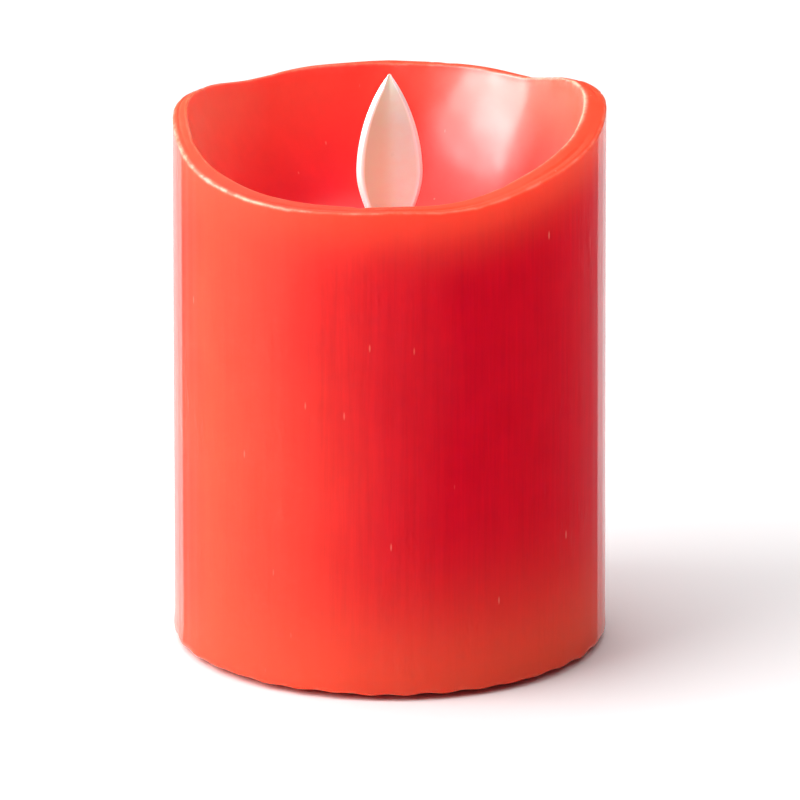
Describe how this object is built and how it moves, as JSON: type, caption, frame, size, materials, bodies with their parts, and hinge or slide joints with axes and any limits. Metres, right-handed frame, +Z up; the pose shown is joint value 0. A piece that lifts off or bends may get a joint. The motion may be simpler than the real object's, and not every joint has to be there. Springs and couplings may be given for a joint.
{
  "type": "flameless LED candle",
  "caption": "Red wax pillar candle with a wavy rim, a bowl in its top and a leaf-shaped plastic flame that swings on a wire over a hidden coil; battery door and switch underneath.",
  "frame": {"origin": "middle of the surface that the candle stands on, under its feet", "axes": "+Z up along the pillar, -Y towards the front, where the rim is lowest, +X to the right"},
  "size_m": [0.075, 0.075, 0.1],
  "materials": {
    "wax": "dyed paraffin wax, satin to glossy, slightly see-through at thin edges",
    "red_plastic": "moulded plastic dyed to match the wax, fine matte texture",
    "flame_plastic": "milky peach plastic that lets light through",
    "white_plastic": "off-white moulded plastic",
    "black_plastic": "black moulded plastic",
    "magnet_plating": "nickel-plated magnet",
    "steel": "zinc-plated steel",
    "contact_plating": "nickel-plated spring steel",
    "copper_wire": "enamelled copper wire",
    "lamp_resin": "clear warm epoxy",
    "board": "green solder mask",
    "resistor_coat": "beige lacquer with colour bands",
    "capacitor_sleeve": "dark blue shrink sleeve",
    "cell_wrap": "plain printed steel can",
    "red_insulation": "PVC insulation",
    "black_insulation": "PVC insulation",
    "rubber": "matte rubber"
  },
  "bodies": {
    "candle": {"wax_shell": "wax", "flame_cap": "red_plastic", "base_plate": "red_plastic", "core_housing": "white_plastic", "led_holder": "white_plastic", "coil_bobbin": "white_plastic", "battery_tray": "black_plastic", "slide_switch_body": "black_plastic", "control_chip": "black_plastic", "drive_transistor": "black_plastic", "pivot_wire": "steel", "base_screw_1": "steel", "base_screw_2": "steel", "base_screw_3": "steel", "base_screw_4": "steel", "board_screw_1": "steel", "board_screw_2": "steel", "battery_spring_1": "contact_plating", "battery_spring_2": "contact_plating", "battery_spring_3": "contact_plating", "link_plate_right": "contact_plating", "link_plate_left": "contact_plating", "terminal_positive": "contact_plating", "terminal_negative": "contact_plating", "coil_winding": "copper_wire", "led_lamp": "lamp_resin", "circuit_board": "board", "board_resistor_1": "resistor_coat", "board_resistor_2": "resistor_coat", "board_capacitor": "capacitor_sleeve", "aaa_cell_1": "cell_wrap", "aaa_cell_2": "cell_wrap", "aaa_cell_3": "cell_wrap", "battery_lead_red": "red_insulation", "led_lead_red": "red_insulation", "switch_lead_1": "red_insulation", "battery_lead_black": "black_insulation", "led_lead_black": "black_insulation", "switch_lead_2": "black_insulation", "rubber_foot_1": "rubber", "rubber_foot_2": "rubber", "rubber_foot_3": "rubber", "rubber_foot_4": "rubber"},
    "flame": {"flame_blade": "flame_plastic", "pendulum_magnet": "magnet_plating"},
    "door": {"battery_door": "red_plastic"},
    "knob": {"switch_knob": "black_plastic"}
  },
  "joints": [
    {"name": "flame_swing", "type": "hinge", "parent": "candle", "child": "flame", "pos_m": [0, 0, 0.066], "axis": [1, 0, 0], "range_deg": [-10, 10]},
    {"name": "door_hinge", "type": "hinge", "parent": "candle", "child": "door", "pos_m": [0, 0.0178, 0.0026], "axis": [1, 0, 0], "range_deg": [0, 100]},
    {"name": "switch_slide", "type": "slide", "parent": "candle", "child": "knob", "axis": [1, 0, 0], "range_m": [-0.002, 0.002]}
  ]
}
